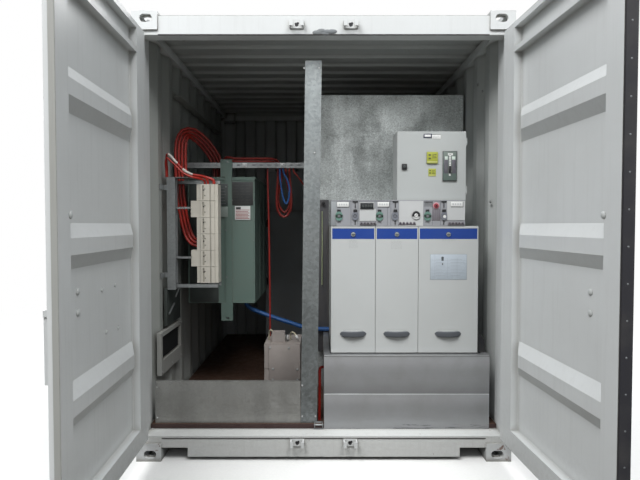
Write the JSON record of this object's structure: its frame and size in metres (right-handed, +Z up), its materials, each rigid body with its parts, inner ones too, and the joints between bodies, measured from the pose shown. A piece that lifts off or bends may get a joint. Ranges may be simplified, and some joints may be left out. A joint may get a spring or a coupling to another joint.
{
  "type": "switchgear bay in a ten foot steel container",
  "caption": "High-cube steel container with both end doors open, housing a ring main unit on a plinth, a control box and a fuse board.",
  "frame": {"origin": "on the ground, in the middle of the outline that the container and its open doors make together", "axes": "+X across the container to the right as seen from the doors, +Y in from the doors to the rear wall, +Z up; the doors face -Y"},
  "size_m": [2.5528, 4.2002, 2.896],
  "materials": {
    "white_paint": "satin white paint with road film",
    "galvanised_steel": "spangled zinc coating",
    "plank_aluminium": "mill finish, dull",
    "unit_grey": "fine powder coat",
    "mechanism_grey": "fine powder coat",
    "housing_green": "hammered grey green paint",
    "cream_plastic": "moulded, matt",
    "facia_white": "smooth satin",
    "band_blue": "satin film",
    "escutcheon_grey": "moulded, satin",
    "black_rubber": "matt",
    "floor_plywood": "phenolic faced, scuffed",
    "box_steel": "dusty grey paint",
    "cabinet_grey": "matt paint",
    "red_sheath": "smooth sheath",
    "blue_sheath": "smooth sheath"
  },
  "bodies": {
    "container": {"corner_castings": "white_paint", "door_end_posts": "white_paint", "rear_posts": "white_paint", "door_header": "white_paint", "door_sill": "white_paint", "cam_keepers": "white_paint", "top_rails": "white_paint", "bottom_rails": "white_paint", "cross_members": "white_paint", "plywood_floor": "floor_plywood", "left_wall": "white_paint", "right_wall": "white_paint", "rear_wall": "white_paint", "roof_panel": "white_paint", "wall_ledge": "white_paint", "hatch_frame": "white_paint", "centre_post": "galvanised_steel", "kick_panel": "galvanised_steel", "partition_sheet": "galvanised_steel", "plinth_planks": "plank_aluminium", "plinth_frame": "plank_aluminium", "ring_main_tank": "unit_grey", "mechanism_panel": "mechanism_grey", "facia_plates": "facia_white", "shaft_escutcheons": "escutcheon_grey", "cable_cover_left": "unit_grey", "cable_cover_middle": "unit_grey", "cable_cover_right": "unit_grey", "cover_bands": "band_blue", "cable_duct": "black_rubber", "control_box_body": "unit_grey", "strut_beam": "galvanised_steel", "mounting_strap": "housing_green", "busbar_housings": "housing_green", "fuse_board_frame": "galvanised_steel", "fuse_modules": "cream_plastic", "terminal_box": "box_steel", "rear_cabinet": "cabinet_grey", "red_cables": "red_sheath", "blue_cable": "blue_sheath"},
    "left_door": {"left_door_frame": "white_paint", "left_door_panel": "white_paint", "left_door_seal": "black_rubber", "left_lock_brackets": "white_paint"},
    "left_rod": {"left_lock_rod": "white_paint"},
    "left_grip": {"left_handle": "white_paint"},
    "right_door": {"right_door_frame": "white_paint", "right_door_panel": "white_paint", "right_door_seal": "black_rubber", "right_lock_brackets": "white_paint"},
    "right_rod": {"right_lock_rod": "white_paint"},
    "right_grip": {"right_handle": "white_paint"},
    "box_door": {"control_box_door": "unit_grey"}
  },
  "joints": [
    {"name": "left_door_hinge", "type": "hinge", "parent": "container", "child": "left_door", "pos_m": [-1.2469, -0.89736, 1.456], "axis": [0, 0, 1], "range_deg": [-174, 88]},
    {"name": "right_door_hinge", "type": "hinge", "parent": "container", "child": "right_door", "pos_m": [1.1571, -0.89736, 1.456], "axis": [0, 0, -1], "range_deg": [-169, 93]},
    {"name": "left_rod_turn", "type": "hinge", "parent": "left_door", "child": "left_rod", "pos_m": [-1.22095, -1.92708, 1.456], "axis": [0, 0, -1], "range_deg": [0, 90]},
    {"name": "right_rod_turn", "type": "hinge", "parent": "right_door", "child": "right_rod", "pos_m": [1.22099, -1.92543, 1.456], "axis": [0, 0, 1], "range_deg": [0, 90]},
    {"name": "left_handle_lift", "type": "hinge", "parent": "left_rod", "child": "left_grip", "pos_m": [-1.26292, -1.92855, 1.15], "axis": [-0.0349, 0.9994, 0], "range_deg": [0, 90]},
    {"name": "right_handle_lift", "type": "hinge", "parent": "right_rod", "child": "right_grip", "pos_m": [1.26293, -1.92323, 1.15], "axis": [0.0523, -0.9986, 0], "range_deg": [0, 90]},
    {"name": "control_box_hinge", "type": "hinge", "parent": "container", "child": "box_door", "pos_m": [0.9296, -0.67636, 1.941], "axis": [0, 0, -1], "range_deg": [-100, 0]}
  ]
}
